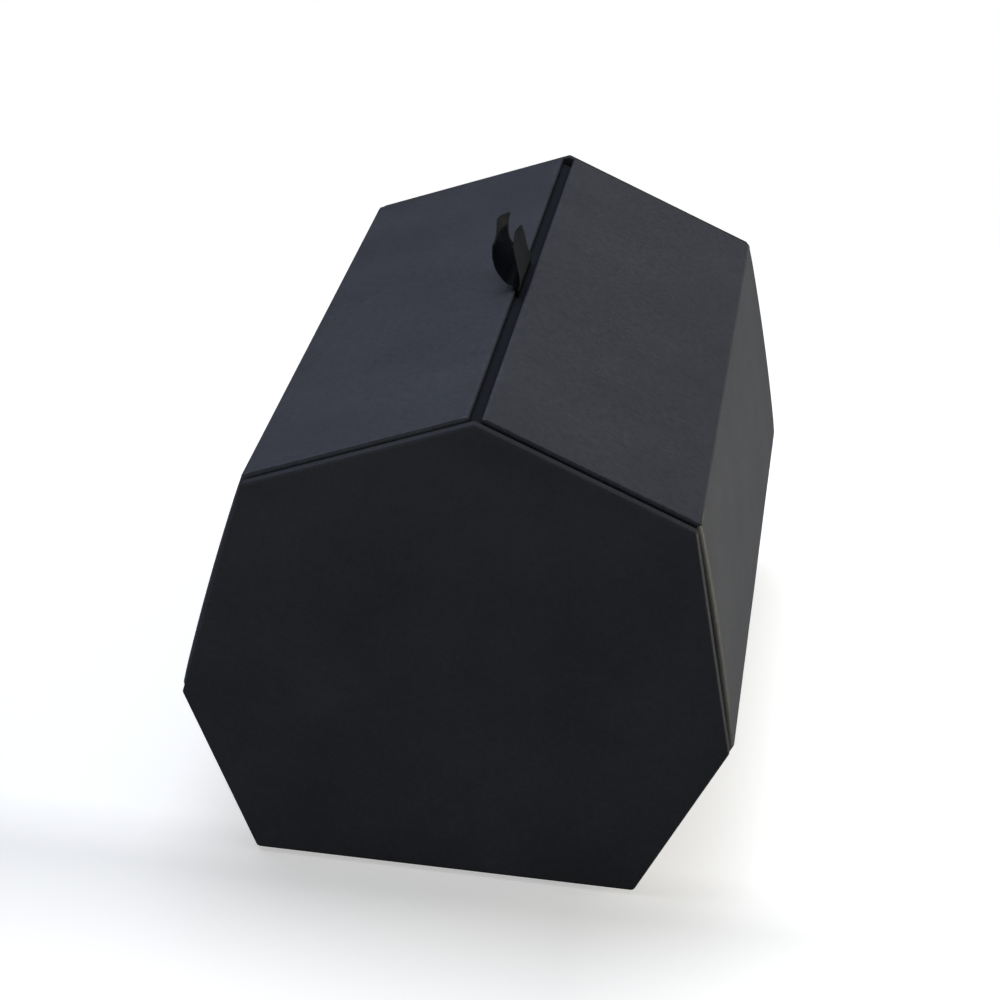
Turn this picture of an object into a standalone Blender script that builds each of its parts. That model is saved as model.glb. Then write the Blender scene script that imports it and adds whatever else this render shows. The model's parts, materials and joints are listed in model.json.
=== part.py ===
"""Seven-sided presentation box with two roof doors, built up from greyboards, cover paper and liners.

The box lies along Y with its flat base on Z = 0. Its section is a symmetric heptagon: base, two lower sides
that splay out to the waist, two walls that lean in to the eaves, and two roof leaves that meet at the ridge.
A leaf is a door. It turns on the fold along its eave, and its ends rest on the sloping edges of the gable
liners. Everything is in metres.
"""

import math

import bmesh
import bpy
from mathutils import Vector

# Outer section.
BASE_HALF = 0.0434
WAIST_HALF = 0.0620
WAIST_Z = 0.0377
EAVE_HALF = 0.0502
EAVE_Z = 0.0902
RIDGE_Z = 0.1100
LENGTH = 0.1970

# Sheet stock.
COVER = 0.00025
GLUE = 0.0001
BOARD = 0.0018
LINER = 0.0015
CARD = 0.0010
TURN_IN = 0.012
REST_GAP = 0.0003
MITRE_GAP = 0.00015

# End plates, set in from the jacket's section, and the channel between a plate and the panels behind it.
PLATE = 2 * COVER + 2 * GLUE + BOARD
PLATE_INSET = 0.0008
CHANNEL = 0.0012
GABLE = 0.0040

# Ridge groove, lip, ribbon and magnets.
GROOVE_HALF = 0.00135
LIP_REACH = 0.0003
LIP_WIDTH = 0.0115
RIBBON_WIDTH = 0.0254
RIBBON_PLY = 0.00028
RIBBON_X = -0.00088
RIBBON_ROOT_LENGTH = 0.0110
ROOT_DROP = 0.0006
FOLD_HALF = 0.0002
MAGNET_LENGTH = 0.020
MAGNET_WIDTH = 0.004
MAGNET_THICK = 0.0012
MAGNET_Y = 0.055

# Depths below the outer surface at which each layer starts and ends.
BOARD_IN = COVER + GLUE
BOARD_OUT = BOARD_IN + BOARD
FLAP_IN = BOARD_OUT + GLUE
FLAP_OUT = FLAP_IN + COVER
TRAY_IN = FLAP_OUT + REST_GAP
TRAY_OUT = TRAY_IN + LINER
LINING_IN = TRAY_OUT + GLUE
LINING_OUT = LINING_IN + COVER
CARD_IN = FLAP_OUT + GLUE
CARD_OUT = CARD_IN + CARD
LEDGE = CARD_OUT + REST_GAP

# Stations along Y, measured from the middle of the box.
PLATE_FRONT = LENGTH / 2
PLATE_BACK = PLATE_FRONT - PLATE
JACKET_END = PLATE_BACK - CHANNEL
GABLE_FRONT = PLATE_BACK - REST_GAP
GABLE_BACK = GABLE_FRONT - GABLE
TRAY_END = GABLE_BACK - REST_GAP

MARGIN = 0.0020
ROOF_SLOPE = (RIDGE_Z - EAVE_Z) / EAVE_HALF
ROOF_ANGLE = math.atan(ROOF_SLOPE)

BLACK = (0.030, 0.031, 0.034, 1)
GREYBOARD = (0.33, 0.31, 0.28, 1)
LINING_BLACK = (0.020, 0.020, 0.022, 1)
SATIN_BLACK = (0.012, 0.013, 0.016, 1)
NICKEL = (0.62, 0.62, 0.60, 1)


def clear_scene():
    for obj in list(bpy.data.objects):
        bpy.data.objects.remove(obj, do_unlink=True)


def new_collection(name):
    made = bpy.data.collections.new(name)
    bpy.context.scene.collection.children.link(made)
    return made


def material(name, color, roughness, metallic=0.0):
    made = bpy.data.materials.new(name)
    made.use_nodes = True
    shader = made.node_tree.nodes["Principled BSDF"]
    shader.inputs["Base Color"].default_value = color
    shader.inputs["Roughness"].default_value = roughness
    shader.inputs["Metallic"].default_value = metallic
    return made


def meet(line_a, line_b):
    """The point where two lines (point, direction) of the section cross."""
    (p, u), (q, v) = line_a, line_b
    turn = u.x * v.y - u.y * v.x
    along = ((q.x - p.x) * v.y - (q.y - p.y) * v.x) / turn
    return p + u * along


def inset_line(start, end, depth):
    along = (end - start).normalized()
    inward = Vector((-along.y, along.x))
    return start + inward * depth, along


def section(side, roof=None):
    """Right-hand corners (base, waist, eave, ridge) of the heptagon moved in by side, and by roof on the roof."""
    roof = side if roof is None else roof
    base = Vector((BASE_HALF, 0))
    waist = Vector((WAIST_HALF, WAIST_Z))
    eave = Vector((EAVE_HALF, EAVE_Z))
    ridge = Vector((0, RIDGE_Z))
    floor = inset_line(Vector((0, 0)), base, side)
    lower = inset_line(base, waist, side)
    wall = inset_line(waist, eave, side)
    leaf = inset_line(eave, ridge, roof)
    middle = (Vector((0, 0)), Vector((0, 1)))
    return [meet(floor, lower), meet(lower, wall), meet(wall, leaf), meet(leaf, middle)]


def mirrored(points):
    return [Vector((-p.x, p.y)) for p in reversed(points)]


def outline(side, roof=None):
    right = section(side, roof)
    return right + mirrored(right[:3])


def roof_point(x, depth):
    """The point of the right roof at this x, this far below its outer surface."""
    return Vector((x, RIDGE_Z - x * ROOF_SLOPE - depth / math.cos(ROOF_ANGLE)))


def prism(name, points, y_low, y_high):
    """A flat outline in X and Z, extruded from y_low to y_high, as a mesh object."""
    curve = bpy.data.curves.new(name, "CURVE")
    curve.dimensions = "2D"
    curve.fill_mode = "BOTH"
    curve.extrude = (y_high - y_low) / 2
    spline = curve.splines.new("POLY")
    spline.points.add(len(points) - 1)
    for place, point in zip(spline.points, points):
        place.co = (point.x, point.y, 0, 1)
    spline.use_cyclic_u = True
    drawn = bpy.data.objects.new(name + "_outline", curve)
    bpy.context.scene.collection.objects.link(drawn)
    drawn.rotation_euler.x = math.pi / 2
    drawn.location.y = (y_low + y_high) / 2
    bpy.context.view_layer.update()
    graph = bpy.context.evaluated_depsgraph_get()
    mesh = bpy.data.meshes.new_from_object(drawn.evaluated_get(graph))
    mesh.name = name
    made = bpy.data.objects.new(name, mesh)
    made.matrix_world = drawn.matrix_world.copy()
    bpy.data.objects.remove(drawn, do_unlink=True)
    weld(mesh)
    return made


def weld(mesh):
    """Joins an outline's caps to its sides and turns every face outwards."""
    shape = bmesh.new()
    shape.from_mesh(mesh)
    bmesh.ops.remove_doubles(shape, verts=shape.verts, dist=1e-6)
    bmesh.ops.recalc_face_normals(shape, faces=shape.faces)
    shape.to_mesh(mesh)
    shape.free()


def part(obj, look):
    PARTS.objects.link(obj)
    obj.data.materials.clear()
    obj.data.materials.append(look)
    return obj


def cut(obj, *cutters):
    for cutter in cutters:
        CUTTERS.objects.link(cutter)
        cutter.hide_render = True
        cutter.display_type = "WIRE"
        hollow = obj.modifiers.new("cut_" + cutter.name, "BOOLEAN")
        hollow.operation = "DIFFERENCE"
        hollow.solver = "EXACT"
        hollow.object = cutter
    return obj


def end_prism(name, points, sign, outer, inner):
    """A prism at one end of the box, between two distances from the middle. The front end's sign is -1."""
    low, high = sorted((sign * outer, sign * inner))
    return prism(name, points, low, high)


def end_plate(name, sign):
    """A board and the cover that is wrapped over its face and rim and turned in behind."""
    rim = outline(PLATE_INSET)
    core = outline(PLATE_INSET + BOARD_IN)
    skin = outline(PLATE_INSET + COVER)
    opening = outline(PLATE_INSET + TURN_IN)
    part(end_prism(name + "_end_board", core, sign, PLATE_FRONT - BOARD_IN, PLATE_BACK + BOARD_IN), GREY)
    wrap = end_prism(name + "_end_wrap", rim, sign, PLATE_FRONT, PLATE_BACK)
    hollow = end_prism(name + "_end_hollow", skin, sign, PLATE_FRONT - COVER, PLATE_BACK + COVER)
    window = end_prism(name + "_end_window", opening, sign, PLATE_BACK + MARGIN / 2, PLATE_BACK - MARGIN)
    cut(part(wrap, COVERING), hollow, window)


def gable(name, sign):
    """The tray's end panel. Its sloping top edges are the ledges that the leaves rest on."""
    part(end_prism(name + "_gable_liner", outline(TRAY_IN, LEDGE), sign, GABLE_FRONT, GABLE_BACK), GREY)
    inner = outline(LINING_OUT + GLUE, LEDGE + COVER)
    face = GABLE_BACK - GLUE
    part(end_prism(name + "_lining", inner, sign, face, face - COVER), LINING)


def along_edge(points, start, end, shift):
    """The two corners of an edge of the section, each pulled in along it by shift."""
    a, b = points[start], points[end]
    step = (b - a).normalized() * shift
    return a + step, b - step


def panel(edge, outer_depth, inner_depth):
    """The section of a panel between two depths, with its ends cut on the corner mitres."""
    outer = outline(outer_depth)
    inner = outline(inner_depth)
    a, b = along_edge(outer, edge, (edge + 1) % len(outer), MITRE_GAP)
    d, c = along_edge(inner, edge, (edge + 1) % len(inner), MITRE_GAP)
    return [a, b, c, d]


RIGHT_LOWER, RIGHT_WALL, LEFT_WALL, LEFT_LOWER, BASE = 0, 1, 4, 5, 6


def jacket():
    """Five boards round the tray and the one cover sheet that joins them, open over the roof."""
    reach = JACKET_END - COVER - GLUE
    boards = {
        "base_board": BASE,
        "left_lower_board": LEFT_LOWER,
        "right_lower_board": RIGHT_LOWER,
        "left_wall_board": LEFT_WALL,
        "right_wall_board": RIGHT_WALL,
    }
    for name, edge in boards.items():
        part(prism(name, panel(edge, BOARD_IN, BOARD_OUT), -reach, reach), GREY)
    wrap = prism("jacket_wrap", outline(0), -JACKET_END, JACKET_END)
    tube = prism("jacket_tube", outline(COVER), COVER - JACKET_END, JACKET_END - COVER)
    core = prism("jacket_core", outline(FLAP_OUT), -LENGTH, LENGTH)
    roof = prism("jacket_roof", roof_cutter(), -LENGTH, LENGTH)
    cut(part(wrap, COVERING), tube, core, roof)


def roof_cutter():
    """All of the section above the eave mitres, so that the jacket ends where the leaves begin."""
    eave = section(0)[2]
    inner = section(TRAY_OUT)[2]
    outward = (eave - inner).normalized() * MARGIN
    drop = (section(0)[1] - eave).normalized() * MITRE_GAP
    right = [inner + drop, eave + outward + drop, Vector((eave.x, RIDGE_Z + MARGIN))]
    return right + mirrored(right)


def tray():
    """Five liner boards between the gables, and the paper that lines them."""
    boards = {"base_liner": BASE, "left_lower_liner": LEFT_LOWER, "right_lower_liner": RIGHT_LOWER}
    for name, edge in boards.items():
        part(prism(name, panel(edge, TRAY_IN, TRAY_OUT), -TRAY_END, TRAY_END), GREY)
    wall = wall_liner()
    part(prism("right_wall_liner", wall, -TRAY_END, TRAY_END), GREY)
    part(prism("left_wall_liner", mirrored(wall), -TRAY_END, TRAY_END), GREY)
    outer = section(LINING_IN, LEDGE)[:3]
    inner = section(LINING_OUT, LEDGE)[:3]
    part(prism("tray_lining", lining_outline(outer, inner), -TRAY_END, TRAY_END), LINING)


def lining_outline(outer, inner):
    """A U-shaped sheet: down the right wall's outer side and up the left, then back along the inside."""
    return outer + list(reversed(inner)) + [Vector((-p.x, p.y)) for p in inner] + mirrored(outer)


def wall_liner():
    """A wall liner's section: mitred at the waist, and cut off under the leaf at the top."""
    outer = section(TRAY_IN, LEDGE)
    inner = section(TRAY_OUT, LEDGE)
    shift = (outer[2] - outer[1]).normalized() * MITRE_GAP
    return [outer[1] + shift, outer[2], inner[2], inner[1] + shift]


def leaf_section(top, bottom, ridge_x, eave_shift):
    """The right leaf's section between two depths, from ridge_x to the eave mitre less eave_shift."""
    up = Vector((-math.cos(ROOF_ANGLE), math.sin(ROOF_ANGLE))) * eave_shift
    return [
        section(bottom)[2] + up,
        section(top)[2] + up,
        roof_point(ridge_x, top),
        roof_point(ridge_x, bottom),
    ]


def edge_bar(near, far, top, bottom):
    """A slice of the right leaf near the ridge: between two distances from the board's edge and two depths."""
    start = GROOVE_HALF + BOARD_IN
    return [
        roof_point(start + far, bottom),
        roof_point(start + far, top),
        roof_point(start + near, top),
        roof_point(start + near, bottom),
    ]


def leaf(name, side):
    """One roof door: board, cover with turned-in flaps, backing card and two edge magnets."""
    def view(points):
        return points if side > 0 else mirrored(points)

    reach = JACKET_END
    board_x = GROOVE_HALF + BOARD_IN
    board_end = reach - BOARD_IN
    board = prism(
        name + "_leaf_board", view(leaf_section(BOARD_IN, BOARD_OUT, board_x, MITRE_GAP)), -board_end, board_end
    )
    part(board, GREY)
    for end, sign in (("front", -1), ("rear", 1)):
        add_magnet(name, end, sign * MAGNET_Y, view, board)
    wrap = prism(name + "_leaf_wrap", view(leaf_section(0, FLAP_OUT, GROOVE_HALF, MITRE_GAP)), -reach, reach)
    hollow = leaf_section(COVER, FLAP_IN, GROOVE_HALF + COVER, -MARGIN)
    window = leaf_section(FLAP_IN - COVER / 2, FLAP_OUT + MARGIN, GROOVE_HALF + TURN_IN, -MARGIN)
    cut(
        part(wrap, COVERING),
        prism(name + "_leaf_hollow", view(hollow), COVER - reach, reach - COVER),
        prism(name + "_leaf_window", view(window), TURN_IN - reach, reach - TURN_IN),
    )


def add_magnet(name, end, y, view, board):
    """A bar magnet let into the ridge edge of a leaf's board, in a slot open at the edge and below."""
    half = MAGNET_LENGTH / 2
    grown = half + MITRE_GAP
    top = (BOARD_IN + BOARD_OUT - MAGNET_THICK) / 2
    bar = edge_bar(0, MAGNET_WIDTH, top, top + MAGNET_THICK)
    part(prism(f"{name}_{end}_magnet", view(bar), y - half, y + half), METAL)
    slot = edge_bar(-MARGIN, MAGNET_WIDTH + MITRE_GAP, top - MITRE_GAP, BOARD_OUT + MARGIN)
    cut(board, prism(f"{name}_{end}_slot", view(slot), y - grown, y + grown))


def leaf_backing():
    """The backing cards under the leaves, and the lip that closes the groove from the right leaf."""
    card_end = JACKET_END - MARGIN / 2
    right = leaf_section(CARD_IN, CARD_OUT, GROOVE_HALF + LIP_WIDTH + REST_GAP, MARGIN)
    part(prism("right_leaf_card", right, -card_end, card_end), CARD_LOOK)
    left = mirrored(leaf_section(CARD_IN, CARD_OUT, GROOVE_HALF + MARGIN, MARGIN))
    card = prism("left_leaf_card", left, -card_end, card_end)
    half = RIBBON_WIDTH / 2 + REST_GAP
    pocket = prism("ribbon_pocket", mirrored(ribbon_pocket()), -half, half)
    cut(part(card, CARD_LOOK), pocket)
    lip = [
        roof_point(GROOVE_HALF + LIP_WIDTH, CARD_OUT),
        roof_point(GROOVE_HALF + LIP_WIDTH, CARD_IN),
        roof_point(-LIP_REACH, CARD_IN),
        roof_point(-LIP_REACH, CARD_OUT),
    ]
    part(prism("right_leaf_lip", lip, -TRAY_END, TRAY_END), CARD_LOOK)


def ribbon_pocket():
    """The recess in the left card that the ribbon's glued root lies in, drawn on the right and mirrored."""
    far = GROOVE_HALF + RIBBON_ROOT_LENGTH + MARGIN
    bottom = CARD_IN + 2 * RIBBON_PLY + 2 * GLUE
    return [
        roof_point(far, bottom),
        roof_point(far, CARD_IN - COVER),
        roof_point(0, CARD_IN - COVER),
        roof_point(0, bottom),
    ]


def strip(name, points, thickness, smooth):
    """A strip of ribbon that follows a path in X and Z and runs its width along Y."""
    curve = bpy.data.curves.new(name, "CURVE")
    curve.dimensions = "2D"
    curve.fill_mode = "NONE"
    curve.extrude = RIBBON_WIDTH / 2
    curve.resolution_u = 5 if smooth else 1
    spline = curve.splines.new("BEZIER")
    spline.bezier_points.add(len(points) - 1)
    for place, (x, z) in zip(spline.bezier_points, points):
        place.co = (x, z, 0)
        place.handle_left_type = place.handle_right_type = "AUTO" if smooth else "VECTOR"
    made = bpy.data.objects.new(name, curve)
    made.rotation_euler.x = math.pi / 2
    ply = made.modifiers.new("ply", "SOLIDIFY")
    ply.thickness = thickness
    ply.offset = 0
    ply.use_even_offset = True
    return part(made, SATIN)


def ribbon():
    """A strip folded in half: a doubled root glued under the left leaf, and two free tails out of the groove."""
    depth = CARD_IN + RIBBON_PLY + GLUE
    inner = mirrored([roof_point(GROOVE_HALF + RIBBON_ROOT_LENGTH, depth)])[0]
    turn = mirrored([roof_point(-RIBBON_X, depth)])[0]
    root_path = [(inner.x, inner.y), (turn.x, turn.y), (RIBBON_X, RIDGE_Z - ROOT_DROP)]
    strip("ribbon_root", root_path, 2 * RIBBON_PLY, smooth=False)
    tails = strip("pull_ribbon", tail_path(), RIBBON_PLY, smooth=True)
    tails.location = (RIBBON_X, 0, RIDGE_Z)


LEFT_TAIL = ((-0.0060, 0.0102), (-0.0054, 0.0070), (-0.0045, 0.0043), (-0.0029, 0.0027), (-0.0010, 0.0019))
RIGHT_TAIL = ((-0.0006, 0.0016), (-0.0020, 0.0041), (-0.0036, 0.0070))


def tail_path():
    """The left tail's tip, down to the fold in the groove, and up to the right tail's tip, from the pivot."""
    bottom = RIBBON_PLY + GLUE
    return [*LEFT_TAIL, (-FOLD_HALF, bottom), (FOLD_HALF, bottom), *RIGHT_TAIL]


def place_origins():
    """Puts each leaf piece's origin on its eave fold."""
    for obj in PARTS.objects:
        if obj.name.startswith(("left_leaf", "left_front", "left_rear")):
            move_origin(obj, Vector((-EAVE_HALF, 0, EAVE_Z)))
        if obj.name.startswith(("right_leaf", "right_front", "right_rear")):
            move_origin(obj, Vector((EAVE_HALF, 0, EAVE_Z)))


def move_origin(obj, pivot):
    shift = obj.matrix_world.inverted() @ pivot
    for vertex in obj.data.vertices:
        vertex.co -= shift
    obj.location = pivot


clear_scene()
PARTS = new_collection("heptagonal_box")
CUTTERS = new_collection("cutters")
GREY = material("greyboard", GREYBOARD, 0.9)
COVERING = material("black_cover", BLACK, 0.62)
LINING = material("black_lining", LINING_BLACK, 0.8)
CARD_LOOK = material("black_card", LINING_BLACK, 0.7)
SATIN = material("black_satin", SATIN_BLACK, 0.4)
METAL = material("nickel", NICKEL, 0.25, 1.0)

end_plate("front", -1)
end_plate("rear", 1)
gable("front", -1)
gable("rear", 1)
jacket()
tray()
leaf("left", -1)
leaf("right", 1)
leaf_backing()
ribbon()
bpy.context.view_layer.update()
place_origins()
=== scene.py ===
import json
import math

import bmesh
import bpy
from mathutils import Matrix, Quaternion, Vector, noise


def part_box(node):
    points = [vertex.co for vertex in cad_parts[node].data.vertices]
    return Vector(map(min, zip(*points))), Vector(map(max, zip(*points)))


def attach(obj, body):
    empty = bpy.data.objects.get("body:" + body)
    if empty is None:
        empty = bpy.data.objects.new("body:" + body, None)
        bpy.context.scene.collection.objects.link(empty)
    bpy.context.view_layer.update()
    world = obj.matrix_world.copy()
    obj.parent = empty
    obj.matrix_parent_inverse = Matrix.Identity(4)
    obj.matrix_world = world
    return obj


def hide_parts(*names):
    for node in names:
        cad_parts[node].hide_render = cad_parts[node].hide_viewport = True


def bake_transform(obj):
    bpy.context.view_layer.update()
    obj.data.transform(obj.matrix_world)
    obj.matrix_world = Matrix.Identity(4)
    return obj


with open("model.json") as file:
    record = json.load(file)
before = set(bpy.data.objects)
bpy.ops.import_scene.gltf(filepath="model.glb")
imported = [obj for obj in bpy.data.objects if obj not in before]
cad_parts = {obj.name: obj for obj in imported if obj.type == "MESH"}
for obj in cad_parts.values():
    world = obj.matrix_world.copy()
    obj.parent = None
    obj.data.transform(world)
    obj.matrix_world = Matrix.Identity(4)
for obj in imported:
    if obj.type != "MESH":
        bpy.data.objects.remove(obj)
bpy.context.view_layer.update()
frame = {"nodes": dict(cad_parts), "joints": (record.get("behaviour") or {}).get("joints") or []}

# Looks for the seven-sided presentation box. The covers are thin sheets with rounded edges that are turned
# in behind, the ribbon is two woven bands, and the paper linings are folded over the tray's edges.
# Metres, +Z up.

# ------------------------------------------------------------------------------- the frame's sizes


def extreme(node, key):
    """The vertex of a CAD node that is greatest by key."""
    return max((v.co for v in frame["nodes"][node].data.vertices), key=key).copy()


PIVOTS = {joint["name"]: Vector(joint["pos_m"]) for joint in frame["joints"]}
EAVE = Vector((PIVOTS["right_leaf_hinge"].x, PIVOTS["right_leaf_hinge"].z))
WAIST = extreme("jacket_wrap", lambda p: p.x).xz
BASE = extreme("jacket_wrap", lambda p: (-round(p.z, 6), p.x)).xz
LEAF_TOP = extreme("right_leaf_wrap", lambda p: p.z).xz
GROOVE_HALF = LEAF_TOP.x
ROOF_SLOPE = (LEAF_TOP.y - EAVE.y) / (EAVE.x - LEAF_TOP.x)
RIDGE = Vector((0, LEAF_TOP.y + GROOVE_HALF * ROOF_SLOPE))
ROOF_ANGLE = math.atan(ROOF_SLOPE)

JACKET_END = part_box("jacket_wrap")[1].y
PLATE_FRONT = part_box("rear_end_wrap")[1].y
PLATE_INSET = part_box("rear_end_wrap")[0].z
GABLE_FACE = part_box("rear_gable_liner")[1].y
GABLE_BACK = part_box("rear_gable_liner")[0].y
LEDGE = (RIDGE.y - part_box("rear_gable_liner")[1].z) * math.cos(ROOF_ANGLE)
TRAY_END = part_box("tray_lining")[1].y
BAND_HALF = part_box("pull_ribbon")[1].y
RIBBON_PIVOT = PIVOTS["ribbon_flop"]

# Sheet stock.
COVER = 0.00025
PANEL = 0.0025
TURN_IN = 0.012
SHEET_GAP = 0.00002

# Rounded edges and corners. A leaf's edge is drawn in by its radius times a roll: more at the ridge than at
# the two ends.
EDGE_STEPS = 9
PLATE_EDGE = 0.0006
PLATE_CORNER = 0.0012
JACKET_EDGE = 0.0019
WAIST_FILLET = 0.0016
BASE_FILLET = 0.0012
SMALLEST_FILLET = 0.0003
FOLD_RADIUS = 0.0013
LEAF_EDGE = 0.0008
RIDGE_ROLL = 1.4
END_ROLL = 0.6


# -------------------------------------------------------------------------------- section geometry


def meet(line_a, line_b):
    """The point where two lines (point, direction) of the section cross."""
    (p, u), (q, v) = line_a, line_b
    turn = u.x * v.y - u.y * v.x
    along = ((q.x - p.x) * v.y - (q.y - p.y) * v.x) / turn
    return p + u * along


def inset_line(start, end, depth):
    """A side of the section moved inwards by a depth, as a point and a direction."""
    along = (end - start).normalized()
    return start + Vector((-along.y, along.x)) * depth, along


def section(depth, roof=None):
    """Right-hand corners (base, waist, eave, ridge) at a depth, or at another depth below the roof."""
    roof = depth if roof is None else roof
    floor = inset_line(Vector((0, 0)), BASE, depth)
    lower = inset_line(BASE, WAIST, depth)
    wall = inset_line(WAIST, EAVE, depth)
    leaf = inset_line(EAVE, RIDGE, roof)
    middle = (Vector((0, 0)), Vector((0, 1)))
    return [meet(floor, lower), meet(lower, wall), meet(wall, leaf), meet(leaf, middle)]


def mirrored(points):
    """The same points on the left side, in the order that goes on round the section."""
    return [Vector((-p.x, p.y)) for p in reversed(points)]


def fillet(before, corner, after, radius, steps):
    """Points on the arc that rounds a corner, from the side of before to the side of after."""
    u = (before - corner).normalized()
    v = (after - corner).normalized()
    half = math.acos(max(-1, min(1, u.dot(v)))) / 2
    reach = radius / math.tan(half)
    centre = corner + (u + v).normalized() * (radius / math.sin(half))
    first = corner + u * reach - centre
    turn = math.copysign(math.pi - 2 * half, u.y * v.x - u.x * v.y)
    points = []
    for i in range(steps + 1):
        angle = turn * i / steps
        c, s = math.cos(angle), math.sin(angle)
        points.append(centre + Vector((first.x * c - first.y * s, first.x * s + first.y * c)))
    return points


def between(a, b, steps):
    """Points strictly between a and b."""
    return [a.lerp(b, i / steps) for i in range(1, steps)]


WALL_TURN = math.atan2(WAIST.x - EAVE.x, EAVE.y - WAIST.y)
MITRE = (math.pi / 2 - ROOF_ANGLE - WALL_TURN) / 2


def fold_inset(depth):
    """How far the rounded fold at an eave lies from the mitre plane at this depth."""
    reach = FOLD_RADIUS * math.tan(MITRE)
    if depth >= FOLD_RADIUS * (1 / math.cos(MITRE) - 1):
        return SHEET_GAP
    chord = math.sqrt(FOLD_RADIUS**2 - (FOLD_RADIUS - depth) ** 2)
    return reach - chord - depth * math.tan(MITRE) + SHEET_GAP


def edge_rings(radius):
    """(depth, inset) of each ring of a turned edge: round the edge, down the side, and in underneath."""
    rings = []
    for i in range(EDGE_STEPS + 1):
        angle = math.pi / 2 * i / EDGE_STEPS
        rings.append((radius * (1 - math.cos(angle)), radius * (1 - math.sin(angle))))
    rings.append(((radius + PANEL) / 2, 0.0))
    rings.append((PANEL - COVER / 2, 0.0))
    rings.append((PANEL, COVER / 2))
    rings.append((PANEL, TURN_IN / 3))
    rings.append((PANEL, TURN_IN))
    return rings


# ------------------------------------------------------------------------------------ mesh helpers


def add_object(name, mesh):
    obj = bpy.data.objects.new(name, mesh)
    bpy.context.scene.collection.objects.link(obj)
    return obj


def finish_mesh(name, shape, sharp=40):
    """An object of this shape, smooth but for the creases sharper than an angle in degrees."""
    bmesh.ops.remove_doubles(shape, verts=shape.verts, dist=1e-7)
    mesh = bpy.data.meshes.new(name)
    shape.to_mesh(mesh)
    shape.free()
    mesh.shade_smooth()
    mesh.set_sharp_from_angle(angle=math.radians(sharp))
    return add_object(name, mesh)


def bridge(shape, loop_a, loop_b, closed=True):
    """Quads between two rows of vertices of the same length."""
    count = len(loop_a)
    for i in range(count if closed else count - 1):
        j = (i + 1) % count
        shape.faces.new((loop_a[i], loop_a[j], loop_b[j], loop_b[i]))


def border(rows, cols):
    """The cells round the edge of a grid, in order."""
    front = [(0, c) for c in range(cols - 1)]
    right = [(r, cols - 1) for r in range(rows - 1)]
    rear = [(rows - 1, c) for c in range(cols - 1, 0, -1)]
    left = [(r, 0) for r in range(rows - 1, 0, -1)]
    return front + right + rear + left


def panel_sheet(name, place, rows, cols, rings, outward):
    """A covered panel: a grid over its face, and rings that turn over its four edges and in behind.

    place(row, col, depth, inset) gives the point of a grid cell on the ring at that depth and inset.
    """
    shape = bmesh.new()
    depth, inset = rings[0]
    grid = [[shape.verts.new(place(r, c, depth, inset)) for c in range(cols)] for r in range(rows)]
    for near, far in zip(grid, grid[1:]):
        bridge(shape, near, far, closed=False)
    cells = border(rows, cols)
    loop = [grid[r][c] for r, c in cells]
    for depth, inset in rings[1:]:
        ring = [shape.verts.new(place(r, c, depth, inset)) for r, c in cells]
        bridge(shape, ring, loop)
        loop = ring
    shape.normal_update()
    middle = grid[rows // 2][cols // 2].link_faces[0]
    if middle.normal.dot(outward) < 0:
        bmesh.ops.reverse_faces(shape, faces=shape.faces)
    return finish_mesh(name, shape)


def open_sheet(name, shape, rows, outward, sharp=40, probe=0):
    """A sheet from rows of vertices, turned so that the face numbered probe faces outward."""
    for near, far in zip(rows, rows[1:]):
        bridge(shape, near, far, closed=False)
    shape.normal_update()
    shape.faces.ensure_lookup_table()
    if shape.faces[probe].normal.dot(outward) < 0:
        bmesh.ops.reverse_faces(shape, faces=shape.faces)
    return finish_mesh(name, shape, sharp)


def thicken(obj, thickness=COVER, offset=-1):
    """Gives a sheet its paper thickness, inwards from its outer surface."""
    ply = obj.modifiers.new("ply", "SOLIDIFY")
    ply.thickness = thickness
    ply.offset = offset
    return obj


def relief(point, size, height, seed=0.0):
    """A gentle unevenness of hand-laid paper, with bumps of about this size and height."""
    return noise.noise(point / size + Vector((seed, 2 * seed, 0))) * height


def spread(length, margins, steps):
    """Stations from 0 to length: close together near both ends, and even between."""
    inner = [margins[-1] + (length - 2 * margins[-1]) * i / steps for i in range(1, steps)]
    return [0.0, *margins, *inner, *[length - m for m in reversed(margins)], length]


def settle(obj, body, look, slot, *nodes):
    """Places a piece on its body with its material, and lets it stand for CAD nodes."""
    obj.data.materials.clear()
    obj.data.materials.append(look)
    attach(obj, body)
    if nodes:
        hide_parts(*nodes)
    return obj


# --------------------------------------------------------------------------------------- materials


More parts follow.
